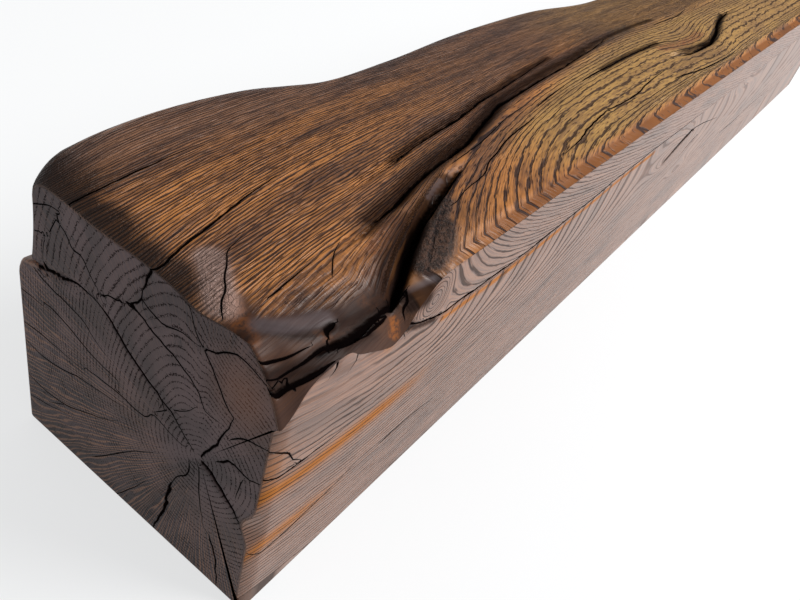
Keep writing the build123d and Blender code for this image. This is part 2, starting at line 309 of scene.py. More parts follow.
# Stains, painted shade and a painted sheen, laid with soft strokes: half width, points. On the top they are
# read on the level plane, on the front on its own plane.
topStains = {
    # painted shade, near black, in the fissure's core, the far cleft, the knot hole and wide cracks
    "gapShade": [
        (3.4, [(62, 3), (70, 7), (79, 11), (89, 15.5), (100, 21), (111, 25.5), (121, 30)]),
        (2.4, [(115, 27), (121, 30), (133, 33.5), (148, 37.5), (162, 41.5), (176, 45)]),
        (4.5, [(600, 41.5), (640, 41), (660, 45), (690, 50), (720, 58), (760, 65)]),
        (2.0, [(30, 10.5), (33, 11)]),
        (3.2, [(18, 4), (33, 2.5), (44, 3), (58, 4), (66, 5)]),
        (2.2, [(-8, 3), (-2, 1), (5, -0.5), (14, -1.5)]),
    ],
    # dark wood on the facets and by the shoulder, and painted shade on the fissure's back flank, along the
    # valleys and in the far cleft
    "dark": [
        (11.0, [(58, 7), (70, 12), (80, 17), (92, 22), (104, 28), (118, 33)]),
        (6.0, [(110, 31), (125, 36), (145, 41), (165, 46)]),
        (9.0, [(100, 45), (110, 47), (130, 50), (145, 54), (160, 57), (180, 60), (200, 62), (220, 65),
               (240, 70), (260, 75), (280, 80)]),
        (6.0, [(260, 75), (280, 80), (300, 82), (330, 85), (360, 88), (400, 90), (440, 93)]),
        (4.0, [(400, 90), (440, 94), (500, 98), (560, 99), (620, 98)]),
        (5.0, [(150, 71), (160, 73), (200, 79), (240, 83), (270, 88), (300, 91), (330, 95), (390, 100)]),
        (7.0, [(-10, 14), (-4, 8), (10, 3), (26, 1), (40, 0)]),
        (6.0, [(-4, 20), (4, 26)]),
        (6.5, [(68, 3), (76, 1), (84, -1), (90, -1)]),
        (5.0, [(64, -2), (72, -3), (79, -3)]),
        (6.0, [(14, 24), (22, 14), (34, 9), (48, 7), (60, 6)]),
        (6.0, [(560, 46), (600, 43), (640, 43), (680, 49), (720, 58), (760, 66)]),
        (5.0, [(420, 67), (480, 69), (550, 68)]),
        (4.0, [(100, 28), (84, 24), (72, 18)]),
    ],
    # soft darkening, half as strong as the dark ones: painted shade along the valleys, and darker round the
    # burl and by the shoulder
    "shade": [
        (18.0, [(76, 4), (100, 12), (120, 20), (142, 32)]),
        (12.0, [(92, 42), (130, 50), (160, 57), (200, 62), (240, 70), (280, 80)]),
        (10.0, [(280, 80), (330, 86), (400, 91), (480, 97), (560, 99)]),
        (14.0, [(36, 22), (50, 14), (66, 12)]),
        (9.0, [(12, 34), (6, 26)]),
    ],
    # painted sheen: blue-grey reflections on the shoulder, at the fissure's upper end and on the facet by
    # the burl
    "sheen": [
        (6.0, [(13, 27), (18, 22), (24, 18.5), (34, 15.5)]),
        (2.2, [(140, 40.5), (150, 43.5), (160, 46)]),
        (2.6, [(74, 4.5), (82, 3.5), (90, 2)]),
    ],
    "ochre": [
        (8.0, [(56, 9), (62, 12), (70, 17)]),
        (6.0, [(84, 30), (96, 34), (110, 38)]),
        (3.0, [(26, 11), (27, 8)]),
        (2.8, [(47, -8), (51, -5), (55, -2)]),
        (6.0, [(12, 40), (8, 30), (4, 24)]),
        (6.0, [(200, 70), (260, 80), (330, 90), (420, 97), (520, 101)]),
        (8.0, [(540, 60), (600, 54), (650, 56)]),
    ],
    # smooth wood with a fine figure, where hardly any brushed lines show
    "figure": [
        (15.0, [(30, 30), (45, 29), (60, 26)]),
        (12.0, [(70, 30), (86, 33), (100, 38)]),
        (8.0, [(100, 6), (125, 12), (150, 16)]),
    ],
    "brown": [(9.0, [(15, 40), (10, 30), (8, 20)])],
    "bleach": [(10.0, [(25, 65), (20, 57), (14, 49), (9, 42)])],
    # the burl beside the fissure, which also stands up
    "burl": [
        (8.5, [(92, 11), (103, 15), (113, 20), (121, 24)]),
        (9.5, [(98, 10), (110, 13), (120, 18), (128, 23)]),
        (6.0, [(120, 20), (134, 28), (146, 34)]),
    ],
}
frontStains = {
    # painted shade along the front's cracks, and dark wood at the worn corner and under the facet
    "dark": [
        (3.0, [(66, 142), (70, 133), (80, 126.5), (100, 119.5)]),
        (4.0, [(460, 89), (490, 97), (515, 103)]),
        (5.0, [(-8, 150), (4, 146), (20, 144)]),
        (7.0, [(66, 147), (74, 143), (85, 139)]),
    ],
    "ochre": [
        (8.0, [(53, 150), (59, 141), (65, 129)]),
        (2.6, [(108, 115), (150, 112.5), (200, 111.5), (260, 113), (320, 115), (400, 115.5)]),
    ],
}
# orange streaks along the front: strength, half width, stretch in which each fades, line (x, z)
frontStreaks = [
    (1.0, 5, (70, 130), [(-8, 88), (10, 83), (30, 80), (60, 79), (90, 78)]),
    (0.8, 5, (20, 70), [(-8, 50), (20, 46), (60, 42)]),
]
# where the olive field ends at the back, read on the level plane (x, y)
oliveBack = [(0, 0), (150, 35), (220, 52), (300, 66), (400, 86), (520, 96), (700, 96), (1200, 92)]


def curveThrough(stops, where):
    # a cubic between each pair of stops, whose slopes come from the stops on either side
    at, value = np.array(stops, float).T
    slope = np.gradient(value, at)
    where = np.clip(where, at[0], at[-1])
    k = np.clip(np.searchsorted(at, where) - 1, 0, len(at) - 2)
    run = at[k + 1] - at[k]
    t = (where - at[k]) / run
    rise = (3 * t**2 - 2 * t**3) * (value[k + 1] - value[k])
    return value[k] + rise + run * ((t**3 - 2 * t**2 + t) * slope[k] + (t**3 - t**2) * slope[k + 1])


def hill(distance, reach):
    # bell curve: one at the middle, falling to a third at the reach
    return np.exp(-(distance / reach) ** 2)


def spot(a, b, middle, reach):
    # a bell curve in two directions round one place
    return hill(a - middle[0], reach[0]) * hill(b - middle[1], reach[1])


def easeIn(value, start, end):
    # nought before start, one after end, and a smooth S between them
    t = np.clip((value - start) / (end - start), 0, 1)
    return t * t * (3 - 2 * t)


def swell(x, y, z, size, seed):
    # sum of slanting sine waves of unlike lengths, between about -1 and 1; size is their mean length
    chance = np.random.default_rng(seed)
    total = 0
    for _ in range(6):
        way = chance.normal(size=3)
        way *= 2 * math.pi / (size * chance.uniform(0.6, 1.7) * np.linalg.norm(way))
        total = total + np.sin(x * way[0] + y * way[1] + z * way[2] + chance.uniform(0, 6.3))
    return total / 3.2


def wave(x, column):
    # one column of the waves along the beam, as a smooth line over its length
    stops = [(row[0] * beamLength, row[column]) for row in shape["waves"]]
    return curveThrough(stops, x)


def topHeight(x, y):
    # crown: a parabola from the arris band to the crest; less the worn front corner, where the
    # drop fades with the square of the way in; less the round at each end, which fades the same way
    lift = shape["arrisHeight"] + shape["arrisWave"] * wave(x, 3)
    crest = shape["crest"] - shape["crestDip"] * wave(x, 2)
    edge = waneEdge(x) - shape["waneRadius"]
    s = (y - shape["arrisWidth"]) / (edge - shape["arrisWidth"])
    crownStart = lift + shape["arrisRise"]
    bow = 4 * (shape["crownShare"] - 0.5)
    crown = crownStart + (crest - crownStart) * s * (1 + bow * (1 - s))
    band = lift + shape["arrisRise"] * y / shape["arrisWidth"]
    height = np.where(s > 0, crown, band)
    worn = np.minimum(curveThrough(shape["wornTop"], x), lift)
    wornShare = np.clip(1 - y / shape["cornerReach"], 0, 1) ** 2
    height = height - (lift - worn) * wornShare
    dip, dipAt, dipReach = shape["endDip"]
    nearTop = shape["endTop"] - dip * hill(y - dipAt, dipReach) + shape["endRipple"] * np.sin(y / 9)
    for away, top in ((x, nearTop), (beamLength - x, shape["farEndTop"])):
        u = np.clip(1 - away / shape["endRound"], 0, 1)
        fade = 0.5 * (1 - np.sqrt(1 - u * u)) + 0.5 * u * u
        height = height - np.maximum(height - top, 0) * fade
    return height


def waneEdge(x):
    # distance from the front face to the natural edge under the crest
    return beamWidth - shape["waneLeast"] - shape["waneDepth"] * wave(x, 1)


def readLevel(x, y, z):
    # where the line from the camera through a place on the top meets the level reading plane
    eye = camera["place"]
    t = (eye[2] - camera["readingHeight"]) / (eye[2] - z)
    return eye[0] + (x - eye[0]) * t, eye[1] + (y - eye[1]) * t


def readFront(x, y, z):
    # where the line from the camera through a place near the front meets the plane of the front face
    eye = camera["place"]
    t = -eye[1] / (y - eye[1])
    return eye[0] + (x - eye[0]) * t, eye[2] + (z - eye[2]) * t


def smoothLine(points, step, shake, seed):
    # a smooth line through the given points, cut into short steps, each shifted a little sideways
    points = np.array(points, float)
    along = np.concatenate(([0], np.cumsum(np.hypot(*np.diff(points, axis=0).T))))
    count = max(int(along[-1] / step), 2)
    at = np.linspace(0, along[-1], count + 1)
    line = np.stack([curveThrough(np.stack([along, points[:, k]], 1), at) for k in (0, 1)], 1)
    way = np.gradient(line, axis=0)
    way /= np.hypot(*way.T)[:, None]
    push = np.random.default_rng(seed).normal(size=count + 1) * shake
    push[0] = push[-1] = 0
    return line + np.stack([-way[:, 1], way[:, 0]], 1) * push[:, None]


def within(line, a, b, reach):
    # which places lie in the box round a line, widened by the reach
    inside = (a > line[:, 0].min() - reach) & (a < line[:, 0].max() + reach)
    return inside & (b > line[:, 1].min() - reach) & (b < line[:, 1].max() + reach)


def lineDistance(line, a, b):
    # distance from each place to a joined line, the side it lies on, and the share of the way along
    best, side, share = np.full(a.shape, noneNear), np.ones(a.shape), np.zeros(a.shape)
    count = len(line) - 1
    for k in range(count):
        dx, dy = line[k + 1] - line[k]
        t = np.clip(((a - line[k, 0]) * dx + (b - line[k, 1]) * dy) / (dx * dx + dy * dy), 0, 1)
        offA, offB = a - line[k, 0] - t * dx, b - line[k, 1] - t * dy
        gap = np.hypot(offA, offB)
        closer = gap < best
        best = np.where(closer, gap, best)
        side = np.where(closer, np.sign(dx * offB - dy * offA), side)
        share = np.where(closer, (k + t) / count, share)
    return best, side, share


def measureCracks(cracks, a, b, shake, seed):
    # for each place: the signed distance to the nearest crack, the plain distance, and the crack's
    # half width there, which thins towards its last point
    signed, plain, half = (np.full(a.shape, value) for value in (noneNear, noneNear, 0.5))
    for number, (width, points) in enumerate(cracks):
        line = smoothLine(points, 3.5, shake * min(width, 1.5), seed + number)
        near = within(line, a, b, 9)
        gap, side, share = lineDistance(line, a[near], b[near])
        thinned = 0.25 + 0.75 * np.clip((1 - share) * 1.8, 0, 1) ** 0.8
        wide = width / 2 * thinned * (0.5 + 0.5 * np.clip(share * 8, 0, 1))
        closer = gap - wide < plain[near] - half[near]
        plain[near] = np.where(closer, gap, plain[near])
        signed[near] = np.where(closer, gap * side, signed[near])
        half[near] = np.where(closer, wide, half[near])
    return signed, plain, half


def paint(strokes, a, b):
    # full along the middle of each stroke, fading smoothly over the outer part of its half width
    mask = np.zeros(a.shape)
    for reach, points in strokes:
        line = smoothLine(points, 3.0, 0.0, 0)
        near = within(line, a, b, reach + 1)
        gap = lineDistance(line, a[near], b[near])[0]
        mask[near] = np.maximum(mask[near], 1 - easeIn(gap, 0.25 * reach, reach))
    return mask


def grooveDepth(a, b):
    # each groove falls in a curve to a sharp line: the square of the way in from its side, with its
    # own width on either side; both depth and width fade at the ends
    total = np.zeros(a.shape)
    for groove in topGrooves:
        across = b - curveThrough(groove["points"], a)
        start, end = groove["points"][0][0], groove["points"][-1][0]
        fade = easeIn(a, start - 4, start + 22) * (1 - easeIn(a, end - 60, end + 6))
        reach = np.where(across < 0, groove["front"], groove["back"]) * (0.3 + 0.7 * fade)
        total = np.maximum(total, groove["depth"] * fade * np.clip(1 - np.abs(across) / reach, 0, 1) ** 2)
    return total


def shoulderAt(x, y, start, end):
    # one on the smooth shoulder between the worn corner and the fissure; it fades across the grain
    # from the start to the end, which lie further back towards the near end, and along it past x 60
    line = y - 0.5 * np.clip(44 - x, 0, 60)
    return (1 - easeIn(line, start, end)) * (1 - easeIn(x, 60, 74))


def solveFor(path, low, high):
    # halves the range again and again until the falling path meets nought
    for _ in range(26):
        middle = (low + high) / 2
        above = path(middle) > 0
        low = np.where(above, middle, low)
        high = np.where(above, high, middle)
    return (low + high) / 2


def arrisRings(start):
    # rings that meet the arris before the place start
    return curveThrough(tree["arrisRings"], start)


def topRings(x, y):
    # In front: the ring whose path from the arris, a climb that levels off exponentially, passes
    # through the place. Behind: rings spread evenly between neighbouring lines of the grain.
    push, middle, reach = tree["topKnot"]
    y = y + push * spot(x, y, middle, reach)
    band = 8.0 - 1.6 * hill(x - 130, 50)  # width of the band along the arris
    first = tree["topStart"]

    def path(start):
        climbed = 1 - np.exp(-(x - start) / curveThrough(tree["topRun"], start))
        return band + curveThrough(tree["topRise"], start) * climbed - y

    start = solveFor(path, np.full(x.shape, first), np.maximum(x, first))
    front = -arrisRings(start + 2.2 * (y / band - 0.5) ** 2 * (y < band))
    edge = np.where(x > first, path(first) + y, band + (x - first) * 0.14)
    value = -arrisRings(first) + 0 * x
    total = value
    before = edge
    for ring, points in tree["topLines"]:
        line = np.maximum(curveThrough(points, x), before + 0.5)
        total = total + np.clip((y - before) / (line - before), 0, 1) * (ring - value)
        value, before = ring, line
    total = total + np.maximum(y - before, 0) / 3.0
    nearCorner = -arrisRings(first) - (edge - y) / 3.0
    return np.where(y > edge, total, np.where(x > first, front, nearCorner))


def frontRings(x, z):
    # Above the shake: lines that drop from the arris and level off exponentially, with round ones at
    # the tip of the lump. Below it: loops, whose size is the cube root of the sum of the cubes of the
    # depth and the reach along the beam, pushed aside by the knots.
    depth = np.maximum(shape["arrisHeight"] - z, 0)

    def path(start):
        away = np.maximum(x - start, 0)
        dropped = 1 - np.exp(-away / curveThrough(tree["frontRun"], start))
        return curveThrough(tree["frontDrop"], start) * dropped + tree["frontSlope"] * away - depth

    first = tree["frontStart"]
    start = solveFor(path, np.full(x.shape, first), np.maximum(x, first + 1))
    upper = -2 * arrisRings(start)
    fromTip = np.hypot(x - tree["tipMiddle"][0], z - tree["tipMiddle"][1])
    tip = -2 * arrisRings(tree["tipStart"]) + (tree["tipReach"] - fromTip) / tree["tipSpacing"]
    upper = tip + (upper - tip) * easeIn(x, *tree["tipFade"])
    reach = np.maximum(curveThrough(tree["loopReach"], x), 0)
    soft = tree["loopSoft"]
    under = soft * np.logaddexp(0, (tree["loopTop"] + curveThrough(tree["loopLift"], x) - z) / soft)
    size = (under**3 + reach**3) ** (1 / 3)
    for push, middle, knotReach in tree["frontKnots"]:
        size = size + push * spot(x, z, middle, knotReach)
    lower = tree["loopStart"] - np.interp(size, *zip(*tree["loopRings"]))
    return np.where(z > curveThrough(tree["shake"], x), upper, lower)


def heartAt(x):
    # where the bent heart line crosses the section at x
    return curveThrough(tree["heartY"], x), curveThrough(tree["heartZ"], x)


def endRings(y, z):
    # rings round the heart, stretched upwards in the upper part and uneven away from the heart, with
    # wide rings above the main crack
    heartY, heartZ = heartAt(0.0)
    acrossY, acrossZ = y - heartY, z - heartZ
    stretch = 1 + tree["endStretch"] * easeIn(acrossZ, 0, 34) * easeIn(acrossY, -12, 22)
    uneven = 0.8 * swell(0 * y, y, z, 60, 31) + 0.45 * swell(0 * y, y, z, 14, 32)
    reach = np.hypot(acrossY, acrossZ / stretch) + uneven * easeIn(np.hypot(acrossY, acrossZ), 4, 30)
    wide = easeIn(z - curveThrough(tree["wideAbove"], y), -0.8, 0.8) * easeIn(y, 34, 40)
    dense, loose = (np.interp(reach, *zip(*tree[name])) for name in ("denseRings", "wideRings"))
    return dense + (loose - dense) * wide


def logRings(x, y, z):
    # distance from the bent heart line, made a little uneven and counted in even rings
    heartY, heartZ = heartAt(x)
    uneven = 1.6 * swell(x * 0.25, y, z, 46, 11) + 0.5 * swell(x * 0.3, y, z, 15, 12)
    return (np.hypot(y - heartY, z - heartZ) + uneven) / tree["ringWidth"]


def spread(marks):
    # joins stretches of even steps: each mark gives where a stretch ends and the step in it
    rows = [marks[0][0]]
    for (start, _), (end, step) in zip(marks, marks[1:]):
        count = max(round((end - start) / step), 1)
        rows += list(np.linspace(start, end, count + 1)[1:])
    return np.array(rows)


# Rows along the beam, close together at the near end and wide apart where the camera hardly sees
rowAt = spread([
    (0, 0), (0.3, 0.3), (1.5, 0.6), (6, 1.1), (22, 1.35), (56, 1.6), (135, 1.2), (200, 1.7), (330, 3.2),
    (520, 5.5), (800, 10.0), (beamLength - 24, 22), (beamLength - 1.6, 2.8), (beamLength, 0.8),
])

# Columns round the beam: how many in each stretch of the section
columns = {"front": 80, "top": 124, "round": 5, "wane": 12, "lip": 10, "back": 22, "bottom": 26, "corner": 3}


def through(stretch):
    # shares of the way through one stretch of the section, without its first place
    return (np.arange(columns[stretch]) + 1)[None, :] / columns[stretch]


def section(x):
    # the section at each x: front face up, crown across, round, natural edge down to its foot, the
    # notch and lip, sawn back down, bottom back to the front, with small rounds at the lower corners
    x = x[:, None]
    one = np.ones_like(x)
    small, big = shape["edgeRadius"], shape["waneRadius"]
    arris = topHeight(x, 0 * x)
    edge = waneEdge(x)
    roundY = edge - big
    roundTop = topHeight(x, roundY)
    lip = shape["lipHeight"]
    t = np.linspace(0, 1, columns["front"])[None, :]
    parts = [(0 * one * t, small + (arris - small) * t)]
    t = through("top")
    y = roundY * t**1.3
    parts.append((y, topHeight(x * np.ones_like(t), y)))
    a = np.linspace(math.pi / 2, 0, columns["round"] + 1)[None, 1:]
    parts.append((roundY + big * np.cos(a), roundTop - big * (1 - np.sin(a))))
    t = through("wane")
    waneTop = roundTop - big
    parts.append((edge + shape["waneFoot"] * t**2, waneTop + (lip + shape["notchRise"] - waneTop) * t))
    # notch and lip: share of the stretch, place across, height over the lip, joined straight
    foot = edge + shape["waneFoot"]
    notch = shape["notchDepth"] + shape["notchWave"] * swell(x, 0 * x, 0 * x, 160, 5)
    back = beamWidth * one
    lipShare, lipY, lipZ = zip(
        (0.0, foot, shape["notchRise"]), (0.22, foot + 0.5, 4.6), (0.4, foot - notch, 3.2),
        (0.55, foot - 0.5, 1.6), (0.7, back - 3.2, -0.8), (0.85, back - 0.8, -4.5),
        (1.0, back, -shape["lipDrop"]),
    )
    for share in through("lip")[0]:
        place = np.interp(share, lipShare, range(len(lipShare)))
        k = min(int(place), len(lipShare) - 2)
        f = place - k
        y = lipY[k] + (lipY[k + 1] - lipY[k]) * f
        parts.append((y, one * (lip + lipZ[k] + (lipZ[k + 1] - lipZ[k]) * f)))
    backTop = lip - shape["lipDrop"]
    t = through("back")
    parts.append((back + 0 * t, backTop + (small - backTop) * t * one))
    a = through("corner") * math.pi / 2
    parts.append((beamWidth - small + small * np.cos(a) * one, small - small * np.sin(a) * one))
    t = through("bottom")
    parts.append((beamWidth - small + (2 * small - beamWidth) * t * one, 0 * t * one))
    a = a[:, :-1]
    parts.append((small - small * np.sin(a) * one, small - small * np.cos(a) * one))
    return [np.concatenate(places, 1) for places in zip(*parts)]


sideY, sideZ = section(rowAt)
rowCount, columnCount = sideY.shape
sideX = np.repeat(rowAt[:, None], columnCount, 1)
print("stage: section", sideY.shape)

# which face each column belongs to
column = np.arange(columnCount)
topFirst = columns["front"]
topLast = topFirst + columns["top"] + columns["round"] + columns["wane"]
onFront = np.ones((rowCount, 1)) * (column < topFirst)
onTop = np.ones((rowCount, 1)) * ((column >= topFirst) & (column < topLast))

# cracks seen on the top and on the front, in the places where they were read
levelX, levelY = readLevel(sideX, sideY, sideZ)
frontX, frontZ = readFront(sideX, sideY, sideZ)
topCrack = measureCracks(topCracks, levelX, levelY, crackJump["top"], 100)
frontCrack = measureCracks(frontCracks, frontX, frontZ, crackJump["front"], 200)
crack = [
    np.where(onTop > 0, above, np.where(onFront > 0, before, noneNear))
    for above, before in zip(topCrack, frontCrack)
]
crack[2] = np.minimum(crack[2], 5)

# How far the surface leaves its plain section, in millimetres
carving = {
    "crackSink": 2.2,  # for each millimetre that a crack's half width is over 0.3
    "endCrackSink": 3.0,
    "burl": 2.4,
    "burlFoot": (1.0, (130, 18), (40, 10)),  # rise, middle and reach of the swelling round the burl
    "ripple": 0.35,
    "brushed": 0.2,
    "frontShare": 0.3,  # how much of the ripple and the brushing the front face has
    "hollows": [(8, (62, 139), (12, 9)), (3, (80, 146), (9, 5))],  # depth, middle (x, z), reach
    # the front corner of the near end: wear all along it, and round two heights (depth, height, reach)
    "bevel": 2.6,
    "bevelWorn": [(5.5, 57, 8), (1.0, 30, 30)],
}

# grooves and wide cracks sink, the burl beside the fissure stands up, faces are not quite flat
groove = grooveDepth(levelX, levelY) * onTop
crackSink = carving["crackSink"] * np.clip(crack[2] - 0.3, 0, 2) * hill(crack[1], crack[2] * 1.1 + 0.4)
crackSink = crackSink * (1 - easeIn(sideX, 170, 240))
footRise, footMiddle, footReach = carving["burlFoot"]
lump = carving["burl"] * paint(topStains["burl"], levelX, levelY)
lump = lump + footRise * spot(levelX, levelY, footMiddle, footReach)
ripple = carving["ripple"] * swell(sideX * 0.5, sideY, sideZ, 30, 3) * easeIn(sideX + sideY, 20, 90)
brushed = carving["brushed"] * swell(sideX * 0.06, sideY, sideZ, 5, 4)
brushed = brushed * (1 - shoulderAt(levelX, levelY, 14, 24))
inner = easeIn(sideX, 1, 8) * easeIn(beamLength - sideX, 1, 8)
fromSilhouette = easeIn(topLast - column, columns["wane"] - 2, columns["wane"] + 12)
topRelief = (lump - groove) * fromSilhouette + (ripple + brushed) * inner * fromSilhouette - crackSink
topRelief = topRelief * onTop * easeIn(sideX, -1.5, 3)
hollow = sum(depth * spot(frontX, frontZ, middle, reach) for depth, middle, reach in carving["hollows"])
bevel = carving["bevel"] + sum(depth * hill(sideZ - at, reach) for depth, at, reach in carving["bevelWorn"])
bevel = bevel * np.clip(1 - sideX / shape["cornerWear"], 0, 1) ** 2
frontRelief = bevel + hollow + crackSink + carving["frontShare"] * (ripple + brushed + 0.6) * inner
sideZ = np.where(onTop > 0, np.minimum(sideZ + topRelief, shape["crest"] + 0.5), sideZ)
sideY = sideY + np.maximum(frontRelief * onFront, 0)

nearHeart, farHeart = heartAt(0.0), heartAt(beamLength)
# small round along the rim of each end face
small = shape["edgeRadius"]
for away in (sideX, beamLength - sideX):
    inset = small - np.sqrt(np.maximum(small**2 - np.clip(small - away, 0, small) ** 2, 0))
    sideY = sideY + np.clip((beamWidth / 2 - sideY) / 8, -1, 1) * inset
    sideZ = sideZ + np.clip((nearHeart[1] - sideZ) / 8, -1, 1) * inset * (1 - onTop)


def endCap(row, heart, shares):
    # rings between a rim and the heart: each is the rim drawn in towards the heart by its share
    s = shares[:, None]
    across, up = (middle + (side[row] - middle) * s for side, middle in zip((sideY, sideZ), heart))
    return sideX[row] + 0 * s, across, up


nearShares = np.concatenate(([0.99], np.linspace(0.97, 0.03, 38)))
farShares = np.linspace(0.93, 0.07, 12)
capX, capY, capZ = endCap(0, nearHeart, nearShares)
endX, endY, endZ = endCap(-1, farHeart, farShares)
capCrack = measureCracks(endCracks, capY, capZ, crackJump["end"], 300)
endSink = np.clip(capCrack[2] - 0.4, 0, 2) * hill(capCrack[1], capCrack[2] + 0.3)
capX = capX + carving["endCrackSink"] * endSink
rimCrack = measureCracks(endCracks, sideY[:1], sideZ[:1], crackJump["end"], 300)
for kept, rim in zip(crack, rimCrack):
    kept[:1] = rim
print("stage: relief")


def joined(*grids):
    # the values of several grids, one after the other in a single row
    return np.concatenate([np.asarray(g, float).reshape(-1) for g in grids])


def spreadOver(onSides, onEnds):
    # one value per vertex: a grid on the sides and one plain value on both ends
    return joined(onSides, np.full(capX.size + endX.size + 2, float(onEnds)))


# every vertex: the sides, the near end, the far end and the two hearts
allX = joined(sideX, capX, endX, [0.0, beamLength])
allY = joined(sideY, capY, endY, [nearHeart[0], farHeart[0]])
allZ = joined(sideZ, capZ, endZ, [nearHeart[1], farHeart[1]])
crackLine = np.stack([
    joined(side, cap, np.full(endX.size + 2, beyond))
    for side, cap, beyond in zip(crack, capCrack, (noneNear, noneNear, 0.5))
], 1)


def gridFaces(start, rows):
    # quads between neighbouring rows of a grid that closes round its columns
    index = start + np.arange(rows * columnCount).reshape(rows, columnCount)
    after = np.roll(index, -1, 1)
    return np.stack([index[:-1], after[:-1], after[1:], index[1:]], -1).reshape(-1, 4)


def ringFaces(outer, inner):
    # quads between two closed rings of the same count
    return np.stack([outer, np.roll(outer, -1), np.roll(inner, -1), inner], -1)


capStart = sideX.size
endStart = capStart + capX.size
heartIndex = endStart + endX.size
quads = np.concatenate([
    gridFaces(0, rowCount)[:, ::-1],
    gridFaces(capStart, len(nearShares)),
    ringFaces(column, capStart + column),
    gridFaces(endStart, len(farShares))[:, ::-1],
    ringFaces(capStart - columnCount + column, endStart + column)[:, ::-1],
])
nearInner = endStart - columnCount + column
farInner = heartIndex - columnCount + column
fans = np.concatenate([
    np.stack([nearInner, np.roll(nearInner, -1), np.full(columnCount, heartIndex)], -1),
    np.stack([np.roll(farInner, -1), farInner, np.full(columnCount, heartIndex + 1)], -1),
])


def writeMesh(name, points, quads, fans):
    # one closed mesh from arrays: quads first, then the triangles round each heart
    mesh = bpy.data.meshes.new(name)
    mesh.vertices.add(len(points))
    mesh.vertices.foreach_set("co", points.astype(np.float32).ravel())
    corners = np.concatenate([quads.ravel(), fans.ravel()])
    mesh.loops.add(len(corners))
    mesh.loops.foreach_set("vertex_index", corners.astype(np.int32))
    starts = np.concatenate([np.arange(len(quads)) * 4, len(quads) * 4 + np.arange(len(fans)) * 3])
    mesh.polygons.add(len(quads) + len(fans))
    mesh.polygons.foreach_set("loop_start", starts.astype(np.int32))
    mesh.polygons.foreach_set("use_smooth", np.ones(len(starts), bool))
    mesh.update(calc_edges=True)
    mesh.validate()
    mesh.set_sharp_from_angle(angle=math.radians(48))
    thing = bpy.data.objects.new(name, mesh)
    bpy.context.scene.collection.objects.link(thing)
    return thing


def addField(mesh, name, values):
    # one number or one vector for each vertex
    kind = "FLOAT" if values.ndim == 1 else "FLOAT_VECTOR"
    field = mesh.attributes.new(name, kind, "POINT")
    field.data.foreach_set("value" if kind == "FLOAT" else "vector", values.astype(np.float32).ravel())


points = np.stack([allX * mm + nodeLow.x, allY * mm + nodeLow.y, allZ * mm], 1)
beam = writeMesh("oakBeam", points, quads, fans)
print("stage: mesh", len(quads) * 2 + len(fans), "triangles")

# fields that the finish reads: which face, where in the log, which ring
onRim = np.zeros_like(sideX)
onRim[[0, -1]] = 1
endOnly = spreadOver(onRim, 1)
sideTop, sideFront = spreadOver(onTop, 0), spreadOver(onFront, 0)
topMask, frontMask = sideTop * (1 - endOnly), sideFront * (1 - endOnly)
heartY, heartZ = heartAt(allX)
lx, ly = readLevel(allX, allY, allZ)
fx, fz = readFront(allX, allY, allZ)
ringsHere = logRings(allX, allY, allZ)
ringsHere = np.where(sideTop > 0, topRings(lx, ly), ringsHere)
ringsHere = np.where(sideFront > 0, frontRings(fx, fz), ringsHere)
ringsHere = np.where((endOnly > 0) & (allX < beamLength / 2), endRings(allY, allZ), ringsHere)
print("stage: rings")

# stains and painted light on the top: the strokes, painted shade on the round at the near end, the olive
# field, the orange band along the arris, the field of bold ring lines, the grey back and the smooth shoulder
painted = {name: paint(strokes, lx, ly) * topMask for name, strokes in topStains.items()}
wander = swell(allX, allY, allZ, 14, 21)
# painted shade on the round at the near end, which faces away from the lamp, and at its back corner
paintedShade = np.maximum(1 - easeIn(allX + 1.8 * wander, 4, 12), hill(allX - 2, 18) * easeIn(ly, 112, 126))
paintedShade = paintedShade * easeIn(ly, 40, 56) * topMask * (1 - 0.9 * painted["bleach"])
pastOlive = ly - curveThrough(oliveBack, lx)
olive = np.maximum(1 - easeIn(pastOlive, -14, 6), 0.6 * easeIn(lx, 380, 560))
olive = easeIn(lx, 190, 300) * olive * easeIn(ly, 8, 16) * topMask
orange = (1 - easeIn(ly, 7.0, 9.5)) * easeIn(lx, 84, 170) * topMask
pastValley = ly - curveThrough(topGrooves[1]["points"], np.minimum(lx, 500))
ringed = easeIn(lx, 96, 120) * (1 - easeIn(pastValley, -5, 2)) * topMask
# painted reflection: greyer, duller wood towards the back of the top
backReflection = np.maximum(0.8 * easeIn(lx, 110, 330) * easeIn(pastOlive, 8, 40), easeIn(ly, 112, 145)) * topMask
shoulder = np.maximum(shoulderAt(lx, ly, 13, 19), painted["brown"]) * topMask

# stains on the front and the near end: dark strokes, which are dark wood in places and painted shade
# along the cracks, grooves and fissure of the top and front, orange strokes, the fine figure, one brown
# place
dark = np.maximum(painted["dark"], paint(frontStains["dark"], fx, fz) * frontMask)
streak = 0.45 * spot(fx, fz, (-2, 100), (10, 12)) + paint(frontStains["ochre"], fx, fz)
for strength, reach, (fadeStart, fadeEnd), line in frontStreaks:
    fade = 1 - easeIn(fx, fadeStart, fadeEnd)
    streak = streak + strength * hill(fz - curveThrough(line, fx), reach) * fade
streak = np.clip(streak, 0, 1) * frontMask
figure = hill(fx - 30, 36) * easeIn(fz, 98, 118) * (1 - easeIn(fx, 75, 100)) * frontMask
brownEnd = spot(allY, allZ, (18, 126), (15, 18)) * endOnly

addField(beam.data, "rings", ringsHere)
addField(beam.data, "crackLine", crackLine)
